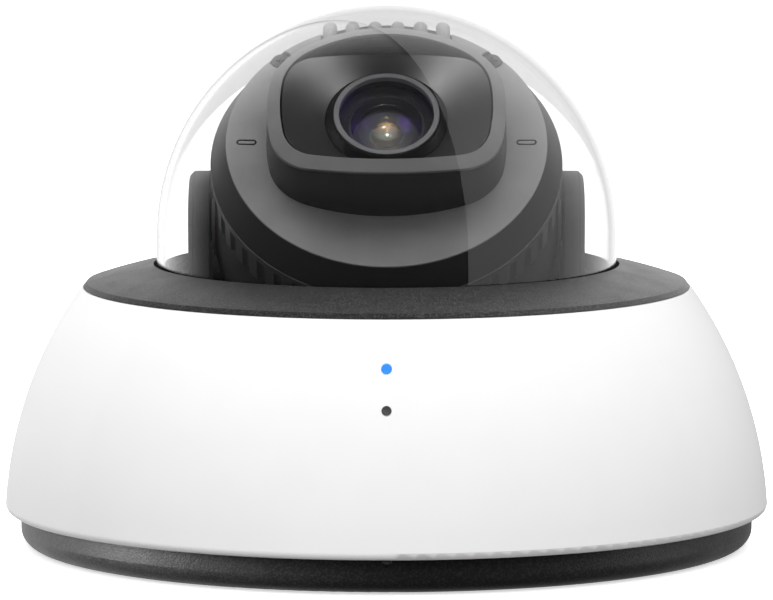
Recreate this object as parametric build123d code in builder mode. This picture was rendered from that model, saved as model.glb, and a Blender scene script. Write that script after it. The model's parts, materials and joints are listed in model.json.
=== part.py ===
from build123d import *
import os
from math import cos, radians, sin, sqrt

os.makedirs("parts", exist_ok=True)

# A fixed dome security camera. Units are millimetres, +Z is up, the camera looks towards -Y.
# The origin is the centre of the mounting face, so everything stands on Z = 0.

# ----------------------------------------------------------------------------------------------
# Driving dimensions
# ----------------------------------------------------------------------------------------------
# Clearances
running_fit = 0.06          # radial play of a shaft in its bore
moving_gap = 0.3            # air between pieces that pass each other
static_gap = 0.1            # air between pieces that are screwed or glued together

# Base
base_radius = 74.4
base_lean = 1.2             # how far the wall leans in behind the skirt
base_lean_z = 8.0
base_wall = 2.4
base_height = 17.0
base_floor_z = 9.0
base_floor = 2.0
base_edge = 3.5             # rounding of the lower outer edge
base_rim = 6.4              # width of the foot round the recess that takes the mounting plate

# Mounting plate
plate_play = 2.0            # radial room for the bayonet tabs
plate_thickness = 2.0
plate_rim_height = 8.0
plate_rim_wall = 2.0
bayonet_thickness = 2.0
bayonet_arc = 18.0
bayonet_angles = (90, 210, 330)
fixing_circle = 100.0
fixing_hole = 2.2
lock_hole = 1.0
lock_radius = 1.25
lock_z = 6.5
lock_boss = 2.4
lock_setback = 1.6          # how deep the lock screw sits in the wall
lock_skin = 0.6

# Cable entry
cable_x = -30.0
cable_y = 34.0
cable_radius = 3.1
grommet_radius = 7.0
grommet_lip = 1.6
grommet_flange = 1.5
plate_cable_hole = 13.0

# Main board
board_margin = 3.8          # from the board's edge to the housing wall
board_thickness = 1.6
board_z = 14.0
board_screw_circle = 56.0
board_screw_angles = (20, 160, 235, 305)
standoff_radius = 3.2
spreader_radius = 20.0
pad_thickness = 0.6

# Reset switch
switch_x = 24.0
switch_y = -54.0
switch_side = 6.0
switch_height = 3.5
switch_floor = 0.8
plunger_radius = 1.7
plunger_length = 3.4
plunger_travel = 0.8

# Network jack
jack_width = 16.0
jack_length = 21.3
jack_height = 13.4
jack_x = 6.0
jack_y = 44.0
socket_width = 11.8
socket_height = 7.8
socket_depth = 15.0
latch_width = 6.0
latch_height = 2.0
latch_depth = 9.0

# Chassis and turntable
chassis_z = 20.0
chassis_thickness = 2.5
chassis_radius = 42.5
chassis_post_circle = 48.0
chassis_post_radius = 3.4
chassis_post_angles = (0, 180, 270)
hub_radius = 26.0
hub_bore = 20.0
pan_washer_thickness = 0.5
pan_washer_radius = 34.0
turntable_radius = 41.0
turntable_thickness = 3.5
pan_retainer_thickness = 1.8
pan_retainer_radius = 30.0

# Yoke
pivot_z = 65.8
arm_play = 1.0              # between the cradle's flat side and the arm
arm_thickness = 3.0
arm_cover_thickness = 1.2
arm_radius = 10.0
arm_foot_half = 14.0
arm_foot_height = 14.0
arm_foot_step = 4.0
arm_chamfer = 0.9
arm_screw_y = 8.0
trunnion_radius = 4.5
trunnion_pocket = 6.0
trunnion_pocket_depth = 1.4
tilt_washer_radius = 6.2
tilt_retainer_thickness = 0.5

# Camera head, measured along the lens axis from the tilt pivot
lens_elevation = 45.0
head_gap = 10.0             # between the bubble and the ball, where the arms stand
cradle_wall = 2.4
cradle_flat_depth = 0.6     # how much of the ball its flat sides take off
cradle_plate = 2.0
cradle_opening = 12.0
cradle_collar = 3.0
cradle_front = 10.4
cradle_back = -26.0
neck_depth = 5.3            # from the ball's surface to the neck that turns in it
frame_step = 2.9
frame_wall = 2.0
frame_back = -12.0
frame_bore = 6.0
frame_opening = 20.0
roll_retainer_thickness = 2.0
grip_inset = 0.1
grip_wall = 2.1
grip_ribs = 48
grip_groove = 1.25
grip_lip = 1.3              # plain edge in front of the grooves
cap_bottom = 17.9
cap_top = 24.2
cap_inset = 0.2
cap_cone = 3.1              # how much the cover narrows over its height
cap_wall = 2.0
face_screw_margin = 1.25    # from the cover's top edge to the screw
face_screw_angle = 45.8
face_screw_pocket = 2.4
face_screw_depth = 1.6
index_mark_margin = 4.0
index_mark_length = 4.0
index_mark_width = 1.4
index_mark_line = 0.35
index_mark_depth = 0.3
rib_recess_width = 26.5
rib_recess_depth = 0.9
rib_count = 6
rib_pitch = 4.6
rib_radius = 1.45

# Hood and window
hood_half_width = 23.9
hood_half_height = 19.0
hood_corner_x = 21.7
hood_corner_y = 13.4
hood_corner_radius = 12.0
hood_draft = 0.7            # how far the wall leans in between its foot and its rim
hood_wall = 2.5
hood_gap = 3.8              # from the rim's sphere about the tilt pivot to the bubble
hood_top = 42.0
window_thickness = 1.6
window_centre = 31.0        # where the window meets the lens barrel
window_edge = 36.6          # where the window's slope reaches the hood's wall

infrared_circle = 14.9
infrared_angles = (0, 55, 125, 180, 235, 305)

# Lens
barrel_radius = 12.1
barrel_wall = 2.4
barrel_shoulder = 31.1
bezel_radius = 10.6
bezel_bore = 9.4
bezel_top = 33.1
front_glass_radius = 9.3
front_glass_top = 32.3
front_glass_bore = 6.85
front_glass_curve = 38.0    # radius of the front surface
back_glass_curve = 9.5      # radius of the hollow back
front_glass_centre = 1.6    # thickness at the middle
second_glass_top = 27.5
second_glass_curve = 4.1
holder_radius = 15.0
holder_front = 12.2
holder_bore = 9.0
sensor_board_w = -4.0
sensor_board_radius = 20.0
sensor_board_thickness = 1.2
sensor_side = 12.0
sensor_height = 1.4
filter_travel = 10.0
zoom_travel = 2.0
zoom_length = 5.0
zoom_bore = 4.5

# Skirt, trim ring and bubble
skirt_arc_radius = 84.4
skirt_bulge = 3.3           # how far the widest line stands outside the base
skirt_arc_z = 3.1
skirt_wall = 2.2
skirt_lip_z = 7.0
skirt_top_z = 52.3
skirt_lip_rounding = 1.4
shelf_z = 49.0
shelf_thickness = 2.2
shelf_margin = 1.5
trim_margin = 0.28          # from the skirt's top edge to the trim ring
trim_seat_depth = 2.0
trim_chamfer = 0.7
trim_shoulder_z = 53.4
trim_gap = 0.6              # dark gap between the bubble and the ring
trim_inner_z = 57.0
trim_bulge = 0.25
trim_wall = 1.9
trim_boss = 2.3
trim_screw_angles = (45, 135, 225, 315)
bubble_radius = 46.7
bubble_wall = 1.5
bubble_centre_z = 62.9
bubble_flange_width = 6.3
bubble_flange_thickness = 1.7
gasket_thickness = 1.2
cover_gasket_height = 0.9

# Status light and microphone
light_z = 43.3
light_radius = 0.95
mic_z = 35.5
mic_hole = 1.0
mic_seat = 2.2
mic_skin = 1.2              # skirt wall left in front of the mesh
status_board_depth = 5.4    # behind the skirt's inner wall, at the board's top edge
status_board_thickness = 1.0
status_board_width = 12.0
status_board_top = 46.0

# Screws
m2_thread = 0.95
m2_hole = 1.0
m2_head = 1.8
m2_head_height = 1.2

# ----------------------------------------------------------------------------------------------
# Places that follow from the driving dimensions
# ----------------------------------------------------------------------------------------------
tilt = radians(lens_elevation)
lens_direction = (0, -cos(tilt), sin(tilt))
head = Plane(origin=(0, 0, pivot_z), x_dir=(1, 0, 0), z_dir=lens_direction)
head_section = Plane(origin=(0, 0, pivot_z), x_dir=(1, 0, 0), z_dir=(0, -sin(tilt), -cos(tilt)))
lens_axis = Axis((0, 0, pivot_z), lens_direction)

base_top_radius = base_radius - base_lean
wall_inside = base_top_radius - base_wall
recess_radius = base_radius - base_rim
plate_radius = recess_radius - plate_play
floor_top = base_floor_z + base_floor
board_radius = wall_inside - board_margin
board_top = board_z + board_thickness
chassis_top = chassis_z + chassis_thickness
turntable_z = chassis_top + pan_washer_thickness
turntable_top = turntable_z + turntable_thickness
hub_bottom = chassis_z - moving_gap

bubble_inside = bubble_radius - bubble_wall
bubble_flange = bubble_radius + bubble_flange_width
shelf_bore = bubble_radius + shelf_margin
trim_inner = bubble_radius + trim_gap
trim_screw_circle = bubble_flange + trim_boss + 0.9

cradle_radius = bubble_inside - head_gap
cradle_inside = cradle_radius - cradle_wall
cradle_flat = cradle_radius - cradle_flat_depth
arm_inside = cradle_flat + arm_play
arm_outside = arm_inside + arm_thickness
retainer_x = arm_outside - trunnion_pocket_depth
neck_radius = cradle_radius - neck_depth
frame_radius = neck_radius - frame_step
roll_retainer_top = cradle_front - cradle_collar - moving_gap
grip_radius = cradle_radius - grip_inset
grip_bore = grip_radius - grip_wall
cap_bottom_radius = grip_radius - cap_inset
cap_top_radius = cap_bottom_radius - cap_cone
face_screw_x = (cap_top_radius - face_screw_margin) * cos(radians(face_screw_angle))
face_screw_y = (cap_top_radius - face_screw_margin) * sin(radians(face_screw_angle))
index_mark_x = cap_top_radius - index_mark_margin
hood_sphere = bubble_inside - hood_gap

base_up = (Align.CENTER, Align.CENTER, Align.MIN)
base_down = (Align.CENTER, Align.CENTER, Align.MAX)
side_up = (Align.MIN, Align.CENTER, Align.MIN)
front_up = (Align.CENTER, Align.MAX, Align.MIN)
front_middle = (Align.CENTER, Align.MAX, Align.CENTER)


def skirt_radius(height, depth=0.0):
    """Radius of the skirt's arc at a height, a depth below its outer surface."""
    arc_x = base_radius + skirt_bulge - skirt_arc_radius
    return arc_x + sqrt((skirt_arc_radius - depth) ** 2 - (height - skirt_arc_z) ** 2)


def around(radius, angle):
    """A point of the base plane, from a radius and an angle."""
    return (radius * cos(radians(angle)), radius * sin(radians(angle)))


def turn(profile, plane=Plane.XZ, axis=Axis.Z, mode=Mode.ADD, arc=360):
    """Revolve a closed profile of (radius, height) corners in the active part."""
    with BuildSketch(plane) as section:
        with BuildLine():
            Polyline(*profile, close=True)
        make_face()
    revolve(section.sketch.faces(), axis=axis, revolution_arc=arc, mode=mode)


def turn_head(profile, mode=Mode.ADD):
    """Revolve a closed profile of (radius, station) corners about the lens axis."""
    turn(profile, plane=head_section, axis=lens_axis, mode=mode)


def head_plane(x, y, station):
    """A plane across the lens axis, centred off the axis by x and y."""
    return Plane(origin=head.from_local_coords((x, y, station)), x_dir=(1, 0, 0), z_dir=lens_direction)


def band(inner, outer, bottom, top):
    """The rectangular profile of a plain ring."""
    return [(inner, bottom), (outer, bottom), (outer, top), (inner, top)]


def screws(seats, length, thread=m2_thread, head_radius=m2_head, head_height=m2_head_height):
    """Cross-head screws in the active part; each seat is the plane under a head, facing outwards."""
    for seat in seats:
        with Locations(seat.location):
            Cylinder(thread, length, align=base_down)
            Cylinder(head_radius, head_height, align=base_up)
        with Locations(seat.offset(head_height).location):
            Box(head_radius * 1.2, head_radius * 0.3, head_height, mode=Mode.SUBTRACT)
            Box(head_radius * 0.3, head_radius * 1.2, head_height, mode=Mode.SUBTRACT)


def write(piece, name):
    """Name a finished piece and write it to its own file."""
    piece.part.label = name
    export_step(piece.part, "parts/" + name + ".step")


trim_outer = skirt_radius(skirt_top_z) - trim_margin
trim_shoulder_radius = trim_outer - trim_chamfer
trim_seat_radius = trim_outer - trim_seat_depth
status_board_y = status_board_depth - skirt_radius(status_board_top, skirt_wall)

# ----------------------------------------------------------------------------------------------
# Mounting plate: screwed to the wall or ceiling, the camera twists on to its three tabs
# ----------------------------------------------------------------------------------------------
tab_z = plate_rim_height - bayonet_thickness
with BuildPart() as mount_plate:
    turn(band(0, plate_radius, 0, plate_thickness))
    turn(band(plate_radius - plate_rim_wall, plate_radius, plate_thickness, plate_rim_height))
    for angle in bayonet_angles:
        start = Plane.XZ.rotated((0, 0, angle - bayonet_arc / 2))
        outer = recess_radius - moving_gap
        turn(band(plate_radius - 1, outer, tab_z, plate_rim_height), plane=start, arc=bayonet_arc)
    with BuildSketch():
        with PolarLocations(fixing_circle / 2, 4):
            Circle(fixing_hole)
        with Locations((cable_x, cable_y)):
            Circle(plate_cable_hole)
    extrude(amount=plate_thickness, mode=Mode.SUBTRACT)
write(mount_plate, "mount_plate")

# ----------------------------------------------------------------------------------------------
# Base housing: outer wall, raised floor, bayonet ledges, standoffs and chassis posts
# ----------------------------------------------------------------------------------------------
ledge_top = tab_z - moving_gap
with BuildPart() as base_housing:
    with BuildSketch(Plane.XZ):
        with BuildLine():
            Line((recess_radius, 0), (base_radius - base_edge, 0))
            RadiusArc((base_radius - base_edge, 0), (base_radius, base_edge), -base_edge)
            Polyline(
                (base_radius, base_edge),
                (base_radius, base_lean_z),
                (base_top_radius, base_height),
                (wall_inside, base_height),
                (wall_inside, floor_top),
                (0, floor_top),
                (0, base_floor_z),
                (recess_radius, base_floor_z),
                (recess_radius, 0),
            )
        make_face()
    revolve(axis=Axis.Z)
    for angle in bayonet_angles:
        start = Plane.XZ.rotated((0, 0, angle - bayonet_arc / 2))
        ledge_inside = plate_radius + moving_gap
        ledge = band(ledge_inside, recess_radius + 0.5, ledge_top - bayonet_thickness, ledge_top)
        turn(ledge, plane=start, arc=bayonet_arc)
    with BuildSketch(Plane.XY.offset(floor_top)):
        for angle in board_screw_angles:
            with Locations(around(board_screw_circle, angle)):
                Circle(standoff_radius)
    extrude(amount=board_z - floor_top)
    with BuildSketch(Plane.XY.offset(floor_top)):
        for angle in chassis_post_angles:
            with Locations(around(chassis_post_circle, angle)):
                Circle(chassis_post_radius)
    extrude(amount=chassis_z - floor_top)
    with BuildSketch(Plane.XY.offset(board_z)):
        for angle in board_screw_angles:
            with Locations(around(board_screw_circle, angle)):
                Circle(m2_hole)
    extrude(amount=-2.6, mode=Mode.SUBTRACT)
    with BuildSketch(Plane.XY.offset(chassis_z)):
        for angle in chassis_post_angles:
            with Locations(around(chassis_post_circle, angle)):
                Circle(m2_hole)
    extrude(amount=-6, mode=Mode.SUBTRACT)
    with BuildSketch(Plane.XY.offset(base_floor_z)):
        with Locations((cable_x, cable_y)):
            Circle(grommet_radius)
    extrude(amount=base_floor, mode=Mode.SUBTRACT)
    boss_length = base_rim + plate_play - lock_skin - 1.2
    with Locations(Plane(origin=(0, -base_radius + lock_skin, lock_z), z_dir=(0, 1, 0)).location):
        Cylinder(lock_boss, boss_length, align=base_up)
    with Locations(Plane(origin=(0, -base_radius, lock_z), z_dir=(0, 1, 0)).location):
        Cylinder(lock_hole, base_radius - plate_radius, align=base_up, mode=Mode.SUBTRACT)
    bore_start = -base_radius + lock_setback - 0.2
    with Locations(Plane(origin=(0, bore_start, lock_z), z_dir=(0, 1, 0)).location):
        Cylinder(lock_radius + running_fit, base_radius - plate_radius, align=base_up, mode=Mode.SUBTRACT)
write(base_housing, "base_housing")

with BuildPart() as lock_screw:
    with Locations(Plane(origin=(0, -base_radius + lock_setback, lock_z), z_dir=(0, 1, 0)).location):
        Cylinder(lock_radius, base_rim + plate_play - lock_setback - moving_gap, align=base_up)
        Box(0.5, 1.8, 1.6, mode=Mode.SUBTRACT)
write(lock_screw, "lock_screw")

with BuildPart() as cable_grommet:
    grommet_axis = Axis((cable_x, cable_y, 0), (0, 0, 1))
    grommet_plane = Plane(origin=(cable_x, cable_y, 0), x_dir=(1, 0, 0), z_dir=(0, -1, 0))
    neck = grommet_radius - static_gap
    lip = grommet_radius + grommet_lip
    profile = [
        (cable_radius, base_floor_z - grommet_flange),
        (lip, base_floor_z - grommet_flange),
        (lip, base_floor_z),
        (neck, base_floor_z),
        (neck, floor_top),
        (lip, floor_top),
        (lip - 0.8, floor_top + grommet_flange),
        (cable_radius, floor_top + grommet_flange),
    ]
    turn(profile, plane=grommet_plane, axis=grommet_axis)
write(cable_grommet, "cable_grommet")

with BuildPart() as cover_gasket:
    turn(band(wall_inside + 0.4, base_top_radius - 0.4, base_height, base_height + cover_gasket_height))
write(cover_gasket, "cover_gasket")

# ----------------------------------------------------------------------------------------------
# Main board, what is on it, and what cools it
# ----------------------------------------------------------------------------------------------
with BuildPart() as main_board:
    with BuildSketch(Plane.XY.offset(board_z)):
        Circle(board_radius)
        with Locations((cable_x, cable_y)):
            Circle(grommet_radius + grommet_lip + 2.5, mode=Mode.SUBTRACT)
        for angle in board_screw_angles:
            with Locations(around(board_screw_circle, angle)):
                Circle(m2_hole + 0.15, mode=Mode.SUBTRACT)
        for angle in chassis_post_angles:
            with Locations(around(chassis_post_circle, angle)):
                Circle(chassis_post_radius + 0.5, mode=Mode.SUBTRACT)
    extrude(amount=board_thickness)
write(main_board, "main_board")

with BuildPart() as heat_spreader:
    with BuildSketch(Plane.XY.offset(floor_top)):
        Rectangle(2 * spreader_radius, 1.5 * spreader_radius)
    extrude(amount=board_z - floor_top - pad_thickness)
    fillet(edges().filter_by(Axis.Z), 2)
write(heat_spreader, "heat_spreader")

with BuildPart() as thermal_pad:
    with BuildSketch(Plane.XY.offset(board_z - pad_thickness)):
        Rectangle(22, 22)
    extrude(amount=pad_thickness)
write(thermal_pad, "thermal_pad")

# Low chips sit under the turntable's hub, tall parts stand beyond it
chip_places = [
    (0, 0, 15, 15),
    (-16, 6, 9, 11),
    (16, 4, 9, 11),
    (2, 17, 7, 5),
    (-6, -17, 6, 6),
    (10, -16, 5, 4),
]
inductor_places = [(48, 34, 8), (38, 46, 7), (54, -22, 8), (44, -34, 6), (-50, -28, 7)]
capacitor_places = [(57, 6), (57, -8), (-58, 2), (-58, -12)]
connector_places = [(34, -22, 12, 5), (-36, -24, 10, 5), (0, -36, 14, 4)]
with BuildPart() as board_components:
    for x, y, length, width in chip_places:
        with Locations((x, y, board_top)):
            Box(length, width, 0.9, align=base_up)
    for x, y, side in inductor_places:
        with Locations((x, y, board_top)):
            Box(side, side, 5.0, align=base_up)
    for x, y in capacitor_places:
        with Locations((x, y, board_top)):
            Cylinder(3.2, 7.5, align=base_up)
    for x, y, length, width in connector_places:
        with Locations((x, y, board_top)):
            Box(length, width, 4.0, align=base_up)
        with Locations((x, y, board_top + 1.0)):
            Box(length - 1.6, width - 1.6, 5.0, align=base_up, mode=Mode.SUBTRACT)
write(board_components, "board_components")

socket_z = board_top + 2.2
with BuildPart() as network_jack:
    with Locations((jack_x, jack_y, board_top)):
        Box(jack_length, jack_width, jack_height, align=(Align.MIN, Align.MIN, Align.MIN))
    fillet(edges().filter_by(Axis.Z), 0.5)
    with Locations((jack_x, jack_y + jack_width / 2, socket_z)):
        Box(socket_depth, socket_width, socket_height, align=side_up, mode=Mode.SUBTRACT)
    with Locations((jack_x, jack_y + jack_width / 2, socket_z + socket_height)):
        Box(latch_depth, latch_width, latch_height, align=side_up, mode=Mode.SUBTRACT)
write(network_jack, "network_jack")

with BuildPart() as reset_switch:
    with Locations((switch_x, switch_y, board_top)):
        Box(switch_side, switch_side, switch_height, align=base_up)
    with Locations((switch_x, switch_y, board_top + switch_floor)):
        Cylinder(plunger_radius + running_fit, switch_height, align=base_up, mode=Mode.SUBTRACT)
write(reset_switch, "reset_switch")

with BuildPart() as reset_plunger:
    with Locations((switch_x, switch_y, board_top + switch_floor + plunger_travel)):
        Cylinder(plunger_radius, plunger_length, align=base_up)
    fillet(faces().sort_by(Axis.Z)[-1].edges(), 0.4)
write(reset_plunger, "reset_plunger")

# ----------------------------------------------------------------------------------------------
# Status board: stands on the main board behind the skirt
# ----------------------------------------------------------------------------------------------
mic_chip_y = status_board_y - status_board_thickness
mic_chip_depth = 1.1
with BuildPart() as status_board:
    with Locations((0, status_board_y, board_top)):
        Box(status_board_width, status_board_thickness, status_board_top - board_top, align=front_up)
    with Locations((0, status_board_y + 1.6, board_top)):
        Box(status_board_width - 2, 1.6, 5.0, align=front_up)
write(status_board, "status_board")

with BuildPart() as status_light:
    with Locations((0, mic_chip_y, light_z)):
        Box(3.0, 1.2, 2.4, align=front_middle)
write(status_light, "status_light")

with BuildPart() as microphone:
    with Locations((0, mic_chip_y, mic_z)):
        Box(3.5, mic_chip_depth, 3.0, align=front_middle)
write(microphone, "microphone")

boot_radius = 2.6
boot_front = skirt_radius(mic_z + boot_radius, skirt_wall) - moving_gap
with BuildPart() as mic_boot:
    with Locations(Plane(origin=(0, mic_chip_y - mic_chip_depth, mic_z), z_dir=(0, -1, 0)).location):
        Cylinder(boot_radius, boot_front + mic_chip_y - mic_chip_depth, align=base_up)
        Cylinder(1.0, boot_front, align=base_up, mode=Mode.SUBTRACT)
write(mic_boot, "mic_boot")

# ----------------------------------------------------------------------------------------------
# Chassis and turntable
# ----------------------------------------------------------------------------------------------
with BuildPart() as chassis_plate:
    with BuildSketch(Plane.XY.offset(chassis_z)):
        Circle(chassis_radius)
        for angle in chassis_post_angles:
            with Locations(around(chassis_post_circle, angle)):
                Circle(chassis_post_radius + 1)
            with Locations(around(chassis_post_circle - 5, angle)):
                Rectangle(10, 2 * chassis_post_radius + 2, rotation=angle)
        Circle(hub_radius + running_fit, mode=Mode.SUBTRACT)
        for angle in chassis_post_angles:
            with Locations(around(chassis_post_circle, angle)):
                Circle(m2_hole + 0.15, mode=Mode.SUBTRACT)
    extrude(amount=chassis_thickness)
write(chassis_plate, "chassis_plate")

with BuildPart() as base_screws:
    places = [around(board_screw_circle, angle) for angle in board_screw_angles]
    seats = [Plane(origin=(x, y, board_top)) for x, y in places]
    screws(seats, length=board_thickness + 2.2)
    places = [around(chassis_post_circle, angle) for angle in chassis_post_angles]
    seats = [Plane(origin=(x, y, chassis_top)) for x, y in places]
    screws(seats, length=chassis_thickness + 5)
write(base_screws, "base_screws")

with BuildPart() as pan_washer:
    turn(band(hub_radius + 1, pan_washer_radius, chassis_top, turntable_z))
write(pan_washer, "pan_washer")

arm_middle = arm_inside + arm_thickness / 2
arm_screw_places = [(side * arm_middle, y) for side in (-1, 1) for y in (-arm_screw_y, arm_screw_y)]
retainer_screw_circle = (hub_radius + hub_bore) / 2
retainer_screw_angles = (30, 150, 270)
with BuildPart() as turntable:
    turn(band(hub_bore, turntable_radius, turntable_z, turntable_top))
    turn(band(hub_bore, hub_radius, hub_bottom, turntable_z))
    chamfer(edges().filter_by(GeomType.CIRCLE).group_by(Axis.Z)[-1].sort_by(SortBy.RADIUS)[-1], 0.8)
    with BuildSketch(Plane.XY.offset(turntable_z)):
        with Locations(*arm_screw_places):
            Circle(m2_hole + 0.1)
    extrude(amount=turntable_thickness, mode=Mode.SUBTRACT)
    with BuildSketch(Plane.XY.offset(turntable_z)):
        with Locations(*arm_screw_places):
            Circle(m2_head + 0.3)
    extrude(amount=m2_head_height + 0.3, mode=Mode.SUBTRACT)
    with BuildSketch(Plane.XY.offset(hub_bottom)):
        for angle in retainer_screw_angles:
            with Locations(around(retainer_screw_circle, angle)):
                Circle(m2_hole)
    extrude(amount=5, mode=Mode.SUBTRACT)
write(turntable, "turntable")

with BuildPart() as pan_retainer:
    turn(band(hub_bore, pan_retainer_radius, hub_bottom - pan_retainer_thickness, hub_bottom))
    with BuildSketch(Plane.XY.offset(hub_bottom)):
        for angle in retainer_screw_angles:
            with Locations(around(retainer_screw_circle, angle)):
                Circle(m2_hole + 0.1)
    extrude(amount=-pan_retainer_thickness, mode=Mode.SUBTRACT)
write(pan_retainer, "pan_retainer")

with BuildPart() as turntable_screws:
    retainer_bottom = hub_bottom - pan_retainer_thickness
    seats = []
    for angle in retainer_screw_angles:
        x, y = around(retainer_screw_circle, angle)
        seats.append(Plane(origin=(x, y, retainer_bottom), z_dir=(0, 0, -1)))
    screws(seats, length=pan_retainer_thickness + 4, head_height=0.9)
    arm_seat_z = turntable_z + m2_head_height + moving_gap
    seats = [Plane(origin=(x, y, arm_seat_z), z_dir=(0, 0, -1)) for x, y in arm_screw_places]
    screws(seats, length=turntable_thickness + 3)
write(turntable_screws, "turntable_screws")


def arm_outline(inset=0.0):
    """The arm's side view, as a sketch on a plane that looks along X: round top, widening foot."""
    radius = arm_radius - inset
    top = pivot_z
    with BuildLine() as outline:
        TangentArc((radius, top), (0, top + radius), tangent=(0, 1))
        TangentArc((0, top + radius), (-radius, top), tangent=(-1, 0))
        Polyline(
            (-radius, top),
            (-radius, turntable_top + arm_foot_height),
            (-arm_foot_half + inset, turntable_top + arm_foot_step),
            (-arm_foot_half + inset, turntable_top),
            (arm_foot_half - inset, turntable_top),
            (arm_foot_half - inset, turntable_top + arm_foot_step),
            (radius, turntable_top + arm_foot_height),
            (radius, top),
        )
    make_face(outline.edges())


def pivot_side(side, distance):
    """A plane at a distance along X from the tilt axis's middle, facing outwards at the pivot."""
    return Plane(origin=(side * distance, 0, pivot_z), x_dir=(0, 1, 0), z_dir=(side, 0, 0))


for side, hand in ((-1, "left"), (1, "right")):
    arm_plane = Plane(origin=(side * arm_inside, 0, 0), x_dir=(0, side, 0), z_dir=(side, 0, 0))
    cover_plane = Plane(origin=(side * arm_outside, 0, 0), x_dir=(0, side, 0), z_dir=(side, 0, 0))
    with BuildPart() as yoke_arm:
        with BuildSketch(arm_plane):
            arm_outline()
        extrude(amount=arm_thickness)
        with BuildSketch(pivot_side(side, arm_inside)):
            Circle(trunnion_radius + running_fit)
        extrude(amount=arm_thickness, mode=Mode.SUBTRACT)
        with BuildSketch(pivot_side(side, arm_outside)):
            Circle(trunnion_pocket)
        extrude(amount=-trunnion_pocket_depth, mode=Mode.SUBTRACT)
        with BuildSketch(Plane.XY.offset(turntable_top)):
            with Locations((side * arm_middle, -arm_screw_y), (side * arm_middle, arm_screw_y)):
                Circle(m2_hole)
        extrude(amount=6, mode=Mode.SUBTRACT)
    write(yoke_arm, "yoke_" + hand)

    with BuildPart() as arm_cover:
        with BuildSketch(cover_plane):
            arm_outline()
        extrude(amount=arm_cover_thickness)
        outer_face = faces().filter_by(Axis.X).sort_by(Axis.X)[0 if side < 0 else -1]
        chamfer(outer_face.edges(), arm_chamfer)
    write(arm_cover, "arm_cover_" + hand)

# ----------------------------------------------------------------------------------------------
# Cradle: the cup that tilts in the yoke
# ----------------------------------------------------------------------------------------------
plate_edge = sqrt(cradle_radius**2 - cradle_back**2)
with BuildPart() as cradle:
    with Locations(head.location):
        Sphere(cradle_radius)
        Sphere(cradle_inside, mode=Mode.SUBTRACT)
    collar_bore = neck_radius + running_fit
    turn_head(band(collar_bore, cradle_inside + 0.6, cradle_front - cradle_collar, cradle_front))
    turn_head(band(0, plate_edge, cradle_back, cradle_back + cradle_plate))
    with Locations(head.offset(cradle_front).location):
        Cylinder(cradle_radius + 5, cradle_radius, align=base_up, mode=Mode.SUBTRACT)
    with Locations(head.offset(cradle_back).location):
        Cylinder(cradle_radius + 5, cradle_radius, align=base_down, mode=Mode.SUBTRACT)
        Cylinder(cradle_opening, 5, mode=Mode.SUBTRACT)
    for side in (-1, 1):
        with Locations(pivot_side(side, cradle_flat).location):
            Box(60, 80, 10, align=base_up, mode=Mode.SUBTRACT)
            Cylinder(trunnion_radius, retainer_x - cradle_flat, align=base_up)
        with Locations(pivot_side(side, arm_outside).location):
            Cylinder(m2_hole, 12, align=base_down, mode=Mode.SUBTRACT)
write(cradle, "cradle")

with BuildPart() as tilt_washers:
    for side in (-1, 1):
        with Locations(pivot_side(side, cradle_flat).location):
            Cylinder(tilt_washer_radius, arm_play - moving_gap, align=base_up)
            Cylinder(trunnion_radius + running_fit, 4, align=base_up, mode=Mode.SUBTRACT)
write(tilt_washers, "tilt_washers")

with BuildPart() as tilt_retainers:
    for side in (-1, 1):
        with Locations(pivot_side(side, retainer_x + static_gap).location):
            Cylinder(trunnion_pocket - 0.4, tilt_retainer_thickness, align=base_up)
            Cylinder(m2_hole + 0.1, 2, align=base_up, mode=Mode.SUBTRACT)
write(tilt_retainers, "tilt_retainers")

with BuildPart() as tilt_screws:
    screw_seat = retainer_x + static_gap + tilt_retainer_thickness
    seats = [pivot_side(side, screw_seat) for side in (-1, 1)]
    screws(seats, length=5, head_height=0.6)
write(tilt_screws, "tilt_screws")

# ----------------------------------------------------------------------------------------------
# Head frame: turns in the cradle about the lens axis and carries everything in the head
# ----------------------------------------------------------------------------------------------
frame_front = cap_bottom
frame_flange = cradle_front + moving_gap
with BuildPart() as head_frame:
    profile = [
        (frame_opening, frame_front),
        (grip_bore - static_gap, frame_front),
        (grip_bore - static_gap, frame_flange),
        (neck_radius, frame_flange),
        (neck_radius, roll_retainer_top),
        (frame_radius, roll_retainer_top),
        (frame_radius, frame_back),
        (frame_bore, frame_back),
        (frame_bore, frame_back + frame_wall),
        (frame_radius - frame_wall, frame_back + frame_wall),
        (frame_radius - frame_wall, frame_front - frame_wall),
        (frame_opening, frame_front - frame_wall),
    ]
    turn_head(profile)
    with BuildSketch(head.offset(frame_front)):
        with Locations((-face_screw_x, face_screw_y), (face_screw_x, face_screw_y)):
            Circle(m2_hole)
    extrude(amount=-6, mode=Mode.SUBTRACT)
write(head_frame, "head_frame")

with BuildPart() as roll_retainer:
    retainer_edge = sqrt(cradle_inside**2 - roll_retainer_top**2) - 0.8
    retainer_bottom = roll_retainer_top - roll_retainer_thickness
    turn_head(band(frame_radius, retainer_edge, retainer_bottom, roll_retainer_top))
write(roll_retainer, "roll_retainer")

with BuildPart() as grip_ring:
    turn_head(band(grip_bore, grip_radius, frame_flange, cap_bottom))
    with BuildSketch(head.offset(frame_flange)):
        with PolarLocations(grip_radius + 0.5, grip_ribs):
            Circle(grip_groove)
    extrude(amount=cap_bottom - grip_lip - frame_flange, mode=Mode.SUBTRACT)
write(grip_ring, "grip_ring")


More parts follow.
